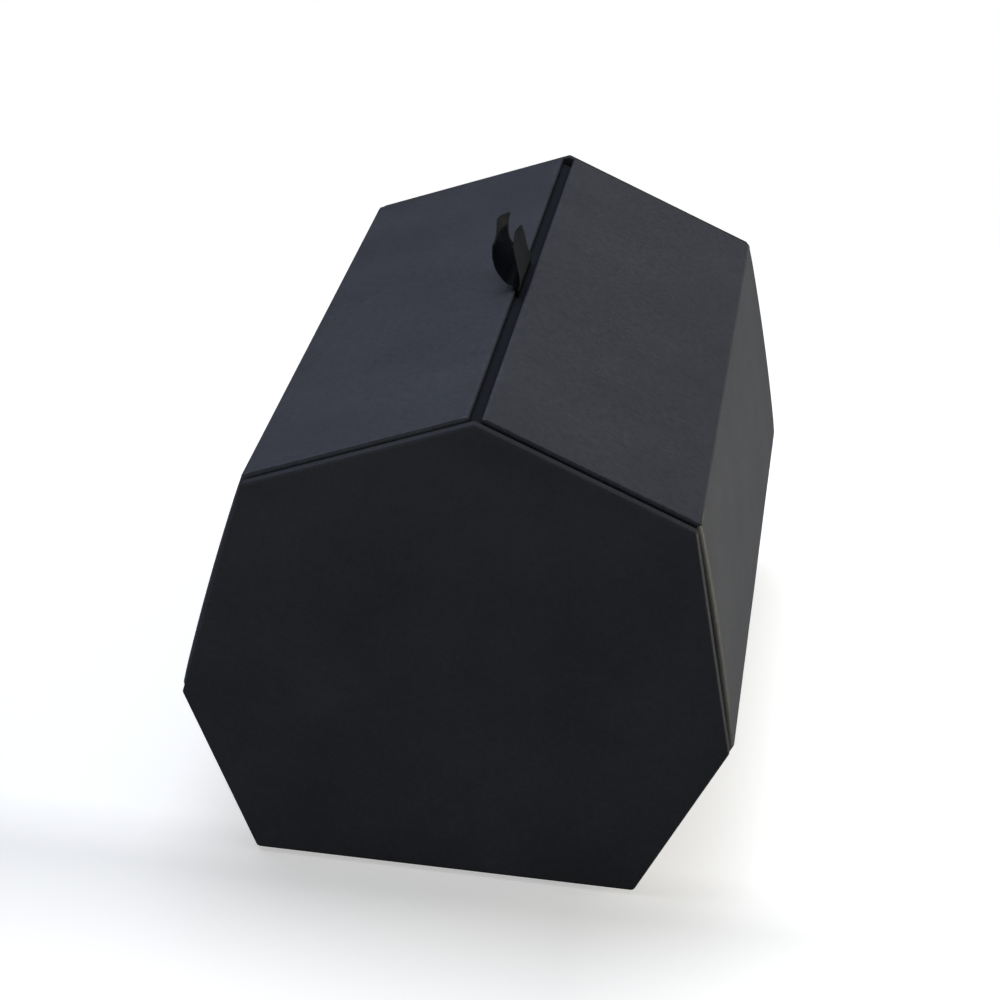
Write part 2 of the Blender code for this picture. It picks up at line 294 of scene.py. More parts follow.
class Graph:
    """Short calls for a material's node tree."""

    def __init__(self, name):
        self.material = bpy.data.materials.new(name)
        self.material.use_nodes = True
        self.tree = self.material.node_tree
        self.shader = self.tree.nodes["Principled BSDF"]
        self.out = self.tree.nodes["Material Output"]

    def node(self, kind, inputs=None, **settings):
        made = self.tree.nodes.new("ShaderNode" + kind)
        for key, value in settings.items():
            setattr(made, key, value)
        for key, value in (inputs or {}).items():
            self.put(made.inputs[key], value)
        return made

    def put(self, socket, value):
        if isinstance(value, bpy.types.NodeSocket):
            self.tree.links.new(value, socket)
        else:
            socket.default_value = value

    def set(self, **values):
        for key, value in values.items():
            self.put(self.shader.inputs[key.replace("_", " ")], value)

    def position(self, scale=(1, 1, 1)):
        """The piece's own coordinates in metres, times a scale."""
        where = self.node("TexCoord").outputs["Object"]
        return self.node("VectorMath", {0: where, 1: scale}, operation="MULTIPLY").outputs[0]

    def noise(self, vector, scale, detail=2.0, roughness=0.5):
        inputs = {"Vector": vector, "Scale": scale, "Detail": detail, "Roughness": roughness}
        return self.node("TexNoise", inputs).outputs["Fac"]

    def cells(self, vector, scale, feature="F1"):
        made = self.node("TexVoronoi", {"Vector": vector, "Scale": scale}, feature=feature)
        return made.outputs["Distance"]

    def math(self, operation, a, b=0.0):
        return self.node("Math", {0: a, 1: b}, operation=operation).outputs[0]

    def product(self, first, *others):
        """The product of some values."""
        for other in others:
            first = self.math("MULTIPLY", first, other)
        return first

    def swing(self, value, share):
        """A factor near 1: a noise's usual range, 0.3 to 0.7, spread over 1 - share to 1 + share."""
        return self.remap(value, 0.3, 0.7, 1 - share, 1 + share)

    def remap(self, value, low, high, to_low, to_high):
        inputs = {"Value": value, "From Min": low, "From Max": high, "To Min": to_low, "To Max": to_high}
        return self.node("MapRange", inputs).outputs[0]

    def tint(self, color, factor):
        """A colour times a factor."""
        scaled = self.node("VectorMath", {0: color[:3], "Scale": factor}, operation="SCALE")
        return scaled.outputs[0]

    def bump(self, height, distance, strength=1.0, normal=None):
        inputs = {"Height": height, "Distance": distance, "Strength": strength}
        if normal is not None:
            inputs["Normal"] = normal
        return self.node("Bump", inputs).outputs[0]


def cover_look(name, color, streak, speckle, sheen, specular=0.5, rim_gloss=1.0):
    """Matt black cover paper: fine grain, faint brushed streaks along the box, clouds and pale specks.

    The streaks and the mottling have strengths of their own. Where the paper is stretched over a rim, away
    from the box's ends, its gloss is multiplied by rim_gloss.
    """
    g = Graph(name)
    place = g.position()
    clouds = g.noise(place, 38, 3)
    patches = g.noise(place, 140, 2)
    mottle = g.noise(place, 620, 3, 0.7)
    along = g.noise(g.position((1, 0.022, 1)), 1500, 3, 0.65)
    brushed = g.noise(g.position((1, 0.10, 1)), 420, 2)
    fine = g.noise(place, 3800, 2)
    pores = g.cells(place, 2300)
    specks = g.remap(g.noise(place, 1300, 1), 0.74, 0.82, 0, 0.5)
    geometry = g.node("NewGeometry").outputs
    # Convex edges are painted lighter: partly wear of the paper, partly a painted highlight along the rims.
    edge_wear_and_highlight = g.remap(geometry["Pointiness"], 0.52, 0.62, 0, 0.35 * rim_gloss)
    facing = g.node("SeparateXYZ", {0: geometry["Normal"]}).outputs["Y"]
    rim = g.remap(g.math("ABSOLUTE", facing), 0.5, 0.95, rim_gloss, 1)

    tone = g.product(
        g.swing(clouds, 0.12),
        g.swing(patches, 0.07),
        g.swing(mottle, 0.28 * speckle),
        g.swing(along, 0.07 * streak),
        g.swing(brushed, 0.04 * streak),
    )
    tone = g.math("ADD", g.math("ADD", tone, specks), edge_wear_and_highlight)
    gloss = g.product(
        g.swing(mottle, 0.2 * speckle), g.swing(clouds, 0.10), g.swing(along, 0.11 * streak), rim, specular
    )
    rough = g.math("ADD", g.remap(fine, 0.3, 0.7, 0.50, 0.62), g.remap(mottle, 0.3, 0.7, -0.03, 0.03))
    skin = g.bump(along, 0.00006, 0.14 * streak)
    skin = g.bump(brushed, 0.00016, 0.15 * streak, skin)
    skin = g.bump(pores, 0.00004, 0.45, skin)
    skin = g.bump(fine, 0.00003, 0.40, skin)
    g.set(Base_Color=g.tint(color, tone), Roughness=rough, Normal=skin)
    g.set(Specular_IOR_Level=gloss, Sheen_Weight=sheen, Sheen_Roughness=0.55)
    return g.material


def greyboard_look():
    """Pulped greyboard: flecked with fibres, with a soft tooth."""
    g = Graph("greyboard")
    place = g.position()
    fibres = g.noise(g.position((1, 0.3, 1)), 1600, 4, 0.7)
    flecks = g.remap(g.noise(place, 900, 2), 0.62, 0.72, 0, -0.35)
    tone = g.math("ADD", g.remap(fibres, 0.3, 0.7, 0.85, 1.12), flecks)
    g.set(Base_Color=g.tint((0.30, 0.285, 0.26), tone), Roughness=g.remap(fibres, 0.3, 0.7, 0.82, 0.95))
    g.set(Normal=g.bump(fibres, 0.0001, 0.5))
    return g.material


def paper_look(name, color, scale, tooth, specular=0.35):
    """Dyed uncoated paper or card: a felt-marked face with fine fibres."""
    g = Graph(name)
    place = g.position()
    felt = g.cells(place, scale, "SMOOTH_F1")
    fibres = g.noise(place, 3 * scale, 3, 0.6)
    tone = g.math("MULTIPLY", g.remap(felt, 0.1, 0.8, 0.86, 1.12), g.remap(fibres, 0.3, 0.7, 0.9, 1.1))
    g.set(Base_Color=g.tint(color, tone), Roughness=g.remap(fibres, 0.3, 0.7, 0.68, 0.84))
    g.set(Normal=g.bump(fibres, 0.00004, 0.4, g.bump(felt, 0.00008, tooth)), Specular_IOR_Level=specular)
    return g.material


def nickel_look():
    """Nickel plate on a pressed magnet: a fine brushed grain and dull patches."""
    g = Graph("magnet_nickel")
    grain = g.noise(g.position((1, 0.05, 1)), 4000, 3)
    dull = g.noise(g.position(), 220, 2)
    rough = g.math("ADD", g.remap(grain, 0.3, 0.7, 0.2, 0.34), g.remap(dull, 0.4, 0.7, 0, 0.12))
    g.set(Base_Color=g.tint((0.66, 0.65, 0.62), g.remap(dull, 0.3, 0.7, 0.9, 1.05)))
    g.set(Metallic=1.0, Roughness=rough, Normal=g.bump(grain, 0.00002, 0.4))
    return g.material


WARP_PITCH = 0.00030
WEFT_PITCH = 0.00042
SELVEDGE = (0.0011, 0.0007)


def ribbon_look():
    """Black ribbon: weft ribs across it and fine warp threads along it, from the band's own coordinates."""
    g = Graph("ribbon_weave")
    band = g.node("Attribute", attribute_name="band").outputs["Vector"]
    split = g.node("SeparateXYZ", {0: band}).outputs
    warp = g.math("SINE", g.math("MULTIPLY", split["X"], 2 * math.pi / WARP_PITCH))
    weft = g.math("SINE", g.math("MULTIPLY", split["Y"], 2 * math.pi / WEFT_PITCH))
    weave = g.math("MULTIPLY", warp, weft)
    inner, outer = BAND_HALF - SELVEDGE[0], BAND_HALF - SELVEDGE[1]
    edge = g.remap(g.math("ABSOLUTE", split["X"]), inner, outer, 0, 1)
    fuzz = g.noise(band, 2600, 3, 0.6)
    tone = g.math("ADD", g.remap(weave, -1, 1, 0.75, 1.25), g.remap(fuzz, 0.3, 0.7, -0.15, 0.15))
    tone = g.math("ADD", tone, g.math("MULTIPLY", edge, 0.25))
    g.set(Base_Color=g.tint((0.0034, 0.0040, 0.0054), tone))
    g.set(Roughness=g.remap(fuzz, 0.3, 0.7, 0.46, 0.60), Specular_IOR_Level=0.11)
    g.set(Normal=g.bump(weave, 0.00005, 0.5), Sheen_Weight=0.02, Sheen_Roughness=0.4)
    return g.material


# Name, colour, then the strengths of streaks, speckle and sheen, and the gloss on a face and on a rim.
# The three covers are one black paper. Their base colours differ as painted light: the jacket's is less blue
# for the side-lit walls, the leaves' is bluer for the roof under the cool top light, and the plates' is
# lighter to lift the shaded ends.
JACKET_LOOK = cover_look("jacket_cover_paper", (0.0155, 0.0163, 0.0180), 1.2, 0.6, 0.10)
LEAF_LOOK = cover_look("leaf_cover_paper", (0.0135, 0.0158, 0.0218), 0.35, 0.85, 0.06)
PLATE_LOOK = cover_look("plate_cover_paper", (0.0168, 0.0176, 0.0206), 0.25, 0.35, 0.03, 0.38, 0.65)
GREYBOARD = greyboard_look()
LINING_LOOK = paper_look("black_lining_paper", (0.020, 0.020, 0.0215), 700, 0.35)
CARD_LOOK = paper_look("black_card_stock", (0.024, 0.024, 0.0255), 1100, 0.25)
# The groove strip is the black card of the backing cards, painted darker and bluer as the shade at the bottom
# of the ridge groove.
SHADED_STRIP_LOOK = paper_look("groove_strip_card_painted_shade", (0.0112, 0.0125, 0.0158), 1100, 0.25, 0.23)
RIBBON_LOOK = ribbon_look()
NICKEL = nickel_look()


# -------------------------------------------------------------------------------------- end plates

CORNER_STEPS = 6
SIDE_STEPS = 10
SMALLEST_CORNER = 0.0004
PLATE_RINGS = (0.012, 0.008, 0.005, 0.003, 0.0015)
PLATE_WAVE = (0.022, 0.00006)
WAVE_FADE = 0.006
INNER_LOOPS = 9


def rounded_outline(depth, radius):
    """The whole heptagon at a depth, with rounded corners and each side divided, counterclockwise."""
    right = section(depth)
    corners = right + mirrored(right[:3])
    count = len(corners)
    arcs = []
    for i in range(count):
        arcs.append(fillet(corners[i - 1], corners[i], corners[(i + 1) % count], radius, CORNER_STEPS))
    points = []
    for arc, following in zip(arcs, arcs[1:] + arcs[:1]):
        points += arc
        points += between(arc[-1], following[0], SIDE_STEPS)
    return points


def end_plate(name, sign):
    """The cover of an end plate: a face, a rounded rim, and a flap turned in behind the board."""
    shape = bmesh.new()

    def loop(inset, depth):
        """The plate's outline drawn in by an inset, at a depth behind its face."""
        fade = min(1.0, inset / WAVE_FADE)
        points = []
        for p in rounded_outline(PLATE_INSET + inset, max(PLATE_CORNER - inset, SMALLEST_CORNER)):
            point = Vector((p.x, sign * (PLATE_FRONT - depth), p.y))
            point.y += sign * fade * relief(point, *PLATE_WAVE, sign)
            points.append(shape.verts.new(point))
        return points

    def shrunk(outer, share):
        """A loop drawn in towards the plate's middle: nearer a circle, and flatter, the further in it is."""
        middle = Vector((0, sign * PLATE_FRONT, RIDGE.y / 2))
        at_ridge = 3 * (CORNER_STEPS + SIDE_STEPS) + CORNER_STEPS / 2
        fade = min(1.0, (share - 0.1) / 0.3)
        points = []
        for i, vertex in enumerate(outer):
            angle = math.pi / 2 + 2 * math.pi * (i - at_ridge) / len(outer)
            circle = middle + Vector((math.cos(angle), 0, math.sin(angle))) * (share * RIDGE.y / 2)
            point = circle.lerp(middle.lerp(vertex.co, share), share)
            point.y = sign * PLATE_FRONT
            point.y += sign * fade * relief(point, *PLATE_WAVE, sign)
            points.append(shape.verts.new(point))
        return points

    edge_loops = [loop(inset, 0) for inset in PLATE_RINGS]
    inner_loops = [shrunk(edge_loops[0], i / (INNER_LOOPS + 1)) for i in range(1, INNER_LOOPS + 1)]
    face = inner_loops + edge_loops
    shape.faces.new(face[0])
    loops = face + [loop(inset, depth) for depth, inset in edge_rings(PLATE_EDGE)]
    for inner, outer in zip(loops, loops[1:]):
        bridge(shape, outer, inner)
    shape.normal_update()
    shape.faces.ensure_lookup_table()
    if shape.faces[0].normal.y * sign < 0:
        bmesh.ops.reverse_faces(shape, faces=shape.faces)
    cover = thicken(finish_mesh(name + "_plate_cover", shape))
    return settle(cover, "case", PLATE_LOOK, "black_cover", name + "_end_wrap")


# ------------------------------------------------------------------------------------------ jacket

WALL_STEPS = 16
LOWER_STEPS = 10
FLOOR_STEPS = 8
FILLET_STEPS = 7
JACKET_ROWS = 34
JACKET_MARGINS = (0.0008, 0.0020, 0.0045)
WALL_BOW = 0.0006
BOW_FULLNESS = 0.7
EAVE_COLS = 8
END_FADE = 18
JACKET_WAVE = (0.020, 0.00005)
LONG_WAVE = (0.004, 0.00004)
FLOOR_FADE = 0.002


def jacket_path(depth):
    """The jacket's section at a depth, from the right eave mitre down, across the base and up to the left."""
    base, waist, eave, _ = section(depth)
    up_wall = (waist - eave).normalized()
    top = eave + up_wall * fold_inset(depth)
    round_waist = fillet(eave, waist, base, max(WAIST_FILLET - depth, SMALLEST_FILLET), FILLET_STEPS)
    left_base = Vector((-base.x, base.y))
    round_base = fillet(waist, base, left_base, max(BASE_FILLET - depth, SMALLEST_FILLET), FILLET_STEPS)
    right = [top, *between(top, round_waist[0], WALL_STEPS), *round_waist]
    right += [*between(round_waist[-1], round_base[0], LOWER_STEPS), *round_base]
    right += between(round_base[-1], Vector((0, base.y)), FLOOR_STEPS)
    return right + [Vector((0, base.y))] + mirrored(right)


def wall_bow(col, cols):
    """How far a wall stands out at this column of the jacket: most at half its height."""
    from_eave = min(col, cols - 1 - col)
    if from_eave >= WALL_STEPS:
        return 0.0
    return WALL_BOW * math.sin(math.pi * from_eave / WALL_STEPS) ** BOW_FULLNESS


def jacket():
    """The jacket's cover: rows along the box, columns from the right eave round the base to the left one."""
    paths = {}
    stations = spread(2 * (JACKET_END - JACKET_EDGE), JACKET_MARGINS, JACKET_ROWS)
    cols = len(jacket_path(0))

    def place(row, col, depth, inset):
        if depth not in paths:
            paths[depth] = jacket_path(depth)
        path = paths[depth]
        share = stations[row] / stations[-1]
        reach = JACKET_END - inset
        y = -reach + 2 * reach * share
        from_eave = min(col, cols - 1 - col)
        before, after = path[max(col - 1, 0)], path[min(col + 1, cols - 1)]
        tangent = (after - before).normalized()
        outward = Vector((-tangent.y, tangent.x))
        if inset > JACKET_EDGE and depth > JACKET_EDGE:
            slide = (inset - COVER / 2) * (1 if col < cols / 2 else -1)
            p = path[col] + tangent * slide * max(0.0, 1 - from_eave / EAVE_COLS)
            return Vector((p.x, y, p.y))
        p = path[col] + outward * wall_bow(col, cols)
        point = Vector((p.x, y, p.y))
        if depth > 0:
            return point
        uneven = relief(point, *JACKET_WAVE, 3)
        uneven += relief(Vector((point.x, point.y / 8, point.z)), *LONG_WAVE, 5)
        uneven *= min(1.0, share * END_FADE, (1 - share) * END_FADE) * min(1.0, from_eave / 3)
        uneven *= min(1.0, max(0.0, point.z / FLOOR_FADE))
        return point + Vector((outward.x, 0, outward.y)) * uneven

    rings = edge_rings(JACKET_EDGE)
    cover = panel_sheet("jacket_cover", place, len(stations), cols, rings, Vector((0, 0, -1)))
    return settle(thicken(cover), "case", JACKET_LOOK, "black_cover", "jacket_wrap")


# ------------------------------------------------------------------------------------- roof leaves

LEAF_COLS = 16
LEAF_ROWS = 40
LEAF_MARGINS = (0.00012, 0.00028, 0.0005, 0.0008, 0.0016, 0.0035)
LEAF_WAVE = (0.024, 0.00006)
LEAF_FADE = 0.005


def leaf_cover(name, side):
    """The cover of a roof leaf. Its place is s up the slope from the eave, y along, and depth below."""
    up = Vector((-math.cos(ROOF_ANGLE), 0, math.sin(ROOF_ANGLE)))
    inward = Vector((-math.sin(ROOF_ANGLE), 0, -math.cos(ROOF_ANGLE)))
    eave = Vector((EAVE.x, 0, EAVE.y))
    slope_length = (EAVE.x - GROOVE_HALF) / math.cos(ROOF_ANGLE)
    across = spread(1.0, [m / slope_length for m in LEAF_MARGINS], LEAF_COLS)
    length = spread(1.0, [m / (2 * JACKET_END) for m in LEAF_MARGINS], LEAF_ROWS)

    def place(row, col, depth, inset):
        flange = max(0.0, inset - LEAF_EDGE) if depth > LEAF_EDGE else 0.0
        low = depth * math.tan(MITRE) + fold_inset(depth) + flange
        high = slope_length - depth * math.tan(ROOF_ANGLE) - inset * RIDGE_ROLL
        reach = JACKET_END - inset * END_ROLL
        s = low + (high - low) * across[col]
        y = -reach + 2 * reach * length[row]
        s, y = round_corner(s, y, high, reach)
        lift = 0.0
        if depth == 0:
            fade = min(LEAF_FADE, s - low, 1.25 * (high - s), reach - abs(y)) / LEAF_FADE
            lift = max(0.0, fade) * relief(Vector((s, y, side)), *LEAF_WAVE, side)
        point = eave + up * s + inward * (depth - lift)
        return Vector((side * point.x, y, point.z))

    cover = panel_sheet(
        name + "_leaf_cover", place, len(length), len(across), edge_rings(LEAF_EDGE),
        Vector((side * math.sin(ROOF_ANGLE), 0, math.cos(ROOF_ANGLE))),
    )
    return settle(thicken(cover), name + "_leaf", LEAF_LOOK, "black_cover", name + "_leaf_wrap")


def round_corner(s, y, high, reach):
    """Rounds the two corners at the ridge in plan, as a square is pulled in to a quarter disc."""
    ds = s - (high - LEAF_EDGE)
    dy = abs(y) - (reach - LEAF_EDGE)
    if ds <= 0 or dy <= 0:
        return s, y
    pull = max(ds, dy) / math.hypot(ds, dy)
    return high - LEAF_EDGE + ds * pull, math.copysign(reach - LEAF_EDGE + dy * pull, y)


# ------------------------------------------------------------------------------------ groove cover

STRIP_PLY = 0.00006
STRIP_DEPTH = 0.00253
STRIP_START = 0.0040
STRIP_END = -0.00115
STRIP_NOTCH_END = -0.00045
STRIP_DROP = 0.0004
STRIP_TAB_DROP = 0.00005
NOTCH_MARGIN = 0.0009
NOTCH_SLANT = 0.0004
TRAY_GAP = 0.0006


def groove_cover():
    """The paper over the lip that closes the ridge groove.

    Its free edge is cut back beside the ribbon, and its two ends run flat over the gables.
    """
    slope = Vector((math.cos(ROOF_ANGLE), -math.sin(ROOF_ANGLE)))
    down = Vector((-math.sin(ROOF_ANGLE), -math.cos(ROOF_ANGLE)))
    notch = BAND_HALF + NOTCH_MARGIN
    reach = TRAY_END - TRAY_GAP
    tip = JACKET_END - LEAF_EDGE
    half = (notch - NOTCH_SLANT, notch, reach / 2, reach, reach + TRAY_GAP / 2, tip)
    shape = bmesh.new()
    rows = []
    for y in [-y for y in reversed(half)] + [0, *half]:
        end = STRIP_NOTCH_END if abs(y) < notch else STRIP_END
        deepest = STRIP_DROP if abs(y) <= reach else STRIP_TAB_DROP
        flat = [(STRIP_START, 0), (0.0010, 0), (end + 0.0003, 0)]
        turned = [(end + 0.0001, 0.00003), (end, 0.00012), (end, STRIP_DROP)]
        row = []
        for x, drop in flat + turned:
            point = RIDGE + slope * (x / slope.x) + down * (STRIP_DEPTH + min(drop, deepest))
            row.append(shape.verts.new((point.x, y, point.y)))
        rows.append(row)
    cover = open_sheet("groove_strip_cover", shape, rows, Vector((0, 0, 1)))
    # The strip's look is card painted darker as the groove's shade.
    return settle(thicken(cover, STRIP_PLY), "right_leaf", SHADED_STRIP_LOOK, "black_cover")


# ------------------------------------------------------------------------------------ eave creases

CREASE_HALF = 0.00055
CREASE_LIFT = 0.000012
CREASE_DIP = 0.00006
CREASE_PLY = 0.00012
CREASE_BEND = 0.00012
CREASE_STEPS = 16
CREASE_ROWS = 16
CREASE_CROWDING = 1.6


def eave_crease(name, side):
    """The cover paper over an eave: a thin sheet curved round the fold along the box's length."""
    corner = Vector((EAVE.x, 0, EAVE.y))
    tilt = (WALL_TURN + math.pi / 2 - ROOF_ANGLE) / 2
    outward = Vector((math.cos(tilt), 0, math.sin(tilt)))
    upward = Vector((-math.sin(tilt), 0, math.cos(tilt)))
    centre = corner - outward * (FOLD_RADIUS / math.cos(MITRE))
    half_angle = CREASE_HALF / FOLD_RADIUS
    reach = JACKET_END - LEAF_EDGE
    stations = [reach * (2 * i / CREASE_ROWS - 1) for i in range(CREASE_ROWS + 1)]
    shape = bmesh.new()
    rows = []
    for i in range(-CREASE_STEPS, CREASE_STEPS + 1):
        share = i / CREASE_STEPS
        angle = half_angle * math.copysign(abs(share) ** CREASE_CROWDING, share)
        radius = FOLD_RADIUS + CREASE_LIFT - CREASE_DIP * share**4
        point = centre + outward * (radius * math.cos(angle)) + upward * (radius * math.sin(angle))
        rows.append([shape.verts.new((side * point.x, y, point.z)) for y in stations])
    crease = thicken(open_sheet(name + "_eave_crease", shape, rows, Vector((side, 0, 0))), CREASE_PLY)
    crease.data.materials.append(JACKET_LOOK)
    apex = centre + outward * FOLD_RADIUS
    low, high = apex - upward * CREASE_BEND, apex + upward * CREASE_BEND
    low.x, high.x = side * low.x, side * high.x
    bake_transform(crease)


# --------------------------------------------------------------- boards, cards, linings and ledges

BOARD_BEVEL = 0.0007
LEAF_BOARD_BEVEL = 0.00007
CARD_BEVEL = 0.0001
LIP_BEVEL = 0.00018
LINING = 0.0002
LINER_IN = 0.0028
LINER_OUT = 0.0043
LINING_DEPTH = 0.0044
LINING_LIP = 0.0004
LINING_FILLETS = (0.0003, 0.0008, 0.0008)
LINING_ROWS = 24
GABLE_SIDE = 0.0049
GABLE_SKIRT = 0.030
GABLE_GAP = 0.00008
GABLE_HOLD = 0.0006
GABLE_EASE = 0.0002
GABLE_CORNER = 0.0003
GABLE_TURN_DOWN = 0.0015


def softened(node, name, bevel, body, look, slot):
    """A CAD piece's shape with its flat faces merged and its edges rounded a little."""
    shape = bmesh.new()
    shape.from_mesh(frame["nodes"][node].data)
    bmesh.ops.remove_doubles(shape, verts=shape.verts, dist=1e-6)
    bmesh.ops.dissolve_limit(shape, angle_limit=math.radians(1), verts=shape.verts, edges=shape.edges)
    obj = finish_mesh(name, shape, 30)
    soft = obj.modifiers.new("soft_edges", "BEVEL")
    soft.width = bevel
    soft.segments = 3
    soft.limit_method = "ANGLE"
    soft.angle_limit = math.radians(20)
    return settle(obj, body, look, slot, node)


def boards():
    """The greyboards of the jacket and the leaves, the leaves' backing cards and the lip."""
    for part in ("base", "left_lower", "right_lower", "left_wall", "right_wall"):
        softened(part + "_board", part + "_greyboard", BOARD_BEVEL, "case", GREYBOARD, "greyboard")
    for leaf in ("left_leaf", "right_leaf"):
        softened(leaf + "_board", leaf + "_greyboard", LEAF_BOARD_BEVEL, leaf, GREYBOARD, "greyboard")
        softened(leaf + "_card", leaf + "_backing", CARD_BEVEL, leaf, CARD_LOOK, "black_card")
    # The lip's card is painted darker as the groove's shade.
    softened("right_leaf_lip", "groove_strip", LIP_BEVEL, "right_leaf", SHADED_STRIP_LOOK, "black_card")


def tray_lining():
    """The paper inside the tray: up each wall and folded over the top of its liner."""
    fold = LINING_DEPTH - LINER_OUT
    outer_top = section(LINER_IN, LEDGE)[2]
    inner = section(LINING_DEPTH, LEDGE - fold)
    over = section(LINER_IN + LINING_LIP, LEDGE - fold)[2]
    at_top, at_waist, at_base = LINING_FILLETS
    round_top = fillet(over, inner[2], inner[1], at_top, 3)
    round_waist = fillet(inner[2], inner[1], inner[0], at_waist, 5)
    round_base = fillet(inner[1], inner[0], Vector((-inner[0].x, inner[0].y)), at_base, 5)
    right = [over.lerp(outer_top, 0.1), *round_top, *round_waist, *round_base]
    path = right + mirrored(right)
    shape = bmesh.new()
    rows = []
    for i in range(LINING_ROWS + 1):
        y = -TRAY_END + 2 * TRAY_END * i / LINING_ROWS
        rows.append([shape.verts.new((p.x, y, p.y)) for p in path])
    lining = open_sheet("tray_lining_paper", shape, rows, Vector((0, 0, 1)), 50, len(path) // 2)
    return settle(thicken(lining, LINING, 1), "case", LINING_LOOK, "black_lining", "tray_lining")


def gable_lining(name, sign):
    """The paper over a gable: its inner face, over its sloping ledges and a little way down the front."""
    shape = bmesh.new()
    inner_y = GABLE_BACK - GABLE_GAP
    front_y = GABLE_FACE + GABLE_GAP
    top = LEDGE - GABLE_GAP
    rows = [(GABLE_SKIRT, inner_y), (LEDGE + GABLE_HOLD, inner_y), (LEDGE + GABLE_EASE, inner_y)]
    rows += [(top, inner_y + GABLE_CORNER), (top, front_y - GABLE_CORNER)]
    rows += [(LEDGE + GABLE_EASE, front_y), (LEDGE + GABLE_TURN_DOWN, front_y)]
    grid = []
    for depth, y in rows:
        base, waist, eave, ridge = section(GABLE_SIDE, depth)
        if not grid:
            below = [base, *between(base, waist, 5), waist, *between(waist, eave, 5)]
        half = [eave, *between(eave, ridge, 12)]
        line = half + [ridge] + mirrored(half)
        grid.append([shape.verts.new((p.x, sign * y, p.y)) for p in line])
    for near, far in zip(grid, grid[1:]):
        bridge(shape, near, far, closed=False)
    skirt = [shape.verts.new((p.x, sign * inner_y, p.y)) for p in mirrored(below) + below]
    shape.faces.new(grid[0] + skirt)
    bmesh.ops.recalc_face_normals(shape, faces=shape.faces)
    shape.faces.ensure_lookup_table()
    if shape.faces[-1].normal.y * sign > 0:
        bmesh.ops.reverse_faces(shape, faces=shape.faces)
    lining = thicken(finish_mesh(name + "_gable_lining", shape, 50), LINING / 2)
    return settle(lining, "case", LINING_LOOK, "black_lining", name + "_lining")


# ------------------------------------------------------------------------------------------ ribbon

PLY = 0.00028
RIB_PITCH = 0.00085
RIB_HEIGHT = 0.000022
BAND_ROWS = 110
BAND_COLS = 26
BAND_TAPER = 0.025
FREE_FROM = 0.55
CORNER_FROM = 0.72
LOOK_AHEAD = 0.004
ROOT_LENGTH = 0.0110
ROOT_KNOT = 0.86
GROOVE_RISE = 0.0007
LEFT_ROOT_DEPTH = 0.00286
RIGHT_ROOT_DEPTH = 0.00318
# Paths in X and Z from the ribbon's pivot, for the front edge and the rear edge of each tail.
LEFT_FRONT = ((0.0000, -0.0004), (-0.0010, 0.0004), (-0.0029, 0.0011), (-0.0050, 0.0036), (-0.0061, 0.0066),
              (-0.0062, 0.0099))
LEFT_REAR = ((0.0000, -0.0004), (-0.0011, 0.0006), (-0.0031, 0.0013), (-0.0056, 0.0035), (-0.0070, 0.0066),
             (-0.0080, 0.0101))
RIGHT_FRONT = ((0.0003, -0.0004), (0.0004, 0.0016), (-0.0003, 0.0042), (-0.0012, 0.0070), (-0.0020, 0.0096))
RIGHT_REAR = ((0.0002, -0.0004), (-0.0006, 0.0010), (-0.0014, 0.0031), (-0.0024, 0.0054), (-0.0035, 0.0070))
LEFT_CURLS = (0.0003, 0.0028)
RIGHT_CURLS = (-0.0002, 0.0008)


def curve_point(points, t):
    """The point at t (0 to 1) on a smooth curve through the points."""
    spans = len(points) - 1
    place = min(t * spans, spans - 1e-9)
    i = int(place)
    u = place - i
    p = [Vector(points[max(0, min(spans, i + k))]) for k in (-1, 0, 1, 2)]
    return 0.5 * (
        2 * p[1]
        + (p[2] - p[0]) * u
        + (2 * p[0] - 5 * p[1] + 4 * p[2] - p[3]) * u * u
        + (3 * p[1] - p[0] - 3 * p[2] + p[3]) * u**3
    )


def band_path(front, rear, root_depth, v):
    """The path in X and Z of the ribbon's thread at v (0 front edge, 1 rear edge)."""
    pivot = Vector((RIBBON_PIVOT.x, RIBBON_PIVOT.z))
    slope = Vector((math.cos(ROOF_ANGLE), math.sin(ROOF_ANGLE)))
    under = Vector((0, RIDGE.y - root_depth / math.cos(ROOF_ANGLE)))
    turn = under + slope * (pivot.x / slope.x)
    root_end = turn - slope * ROOT_LENGTH
    ease = v * v * (3 - 2 * v)
    root = [root_end, root_end.lerp(turn, ROOT_KNOT), turn + Vector((0, GROOVE_RISE))]
    return root + [pivot + Vector(a).lerp(Vector(b), ease) for a, b in zip(front, rear)]


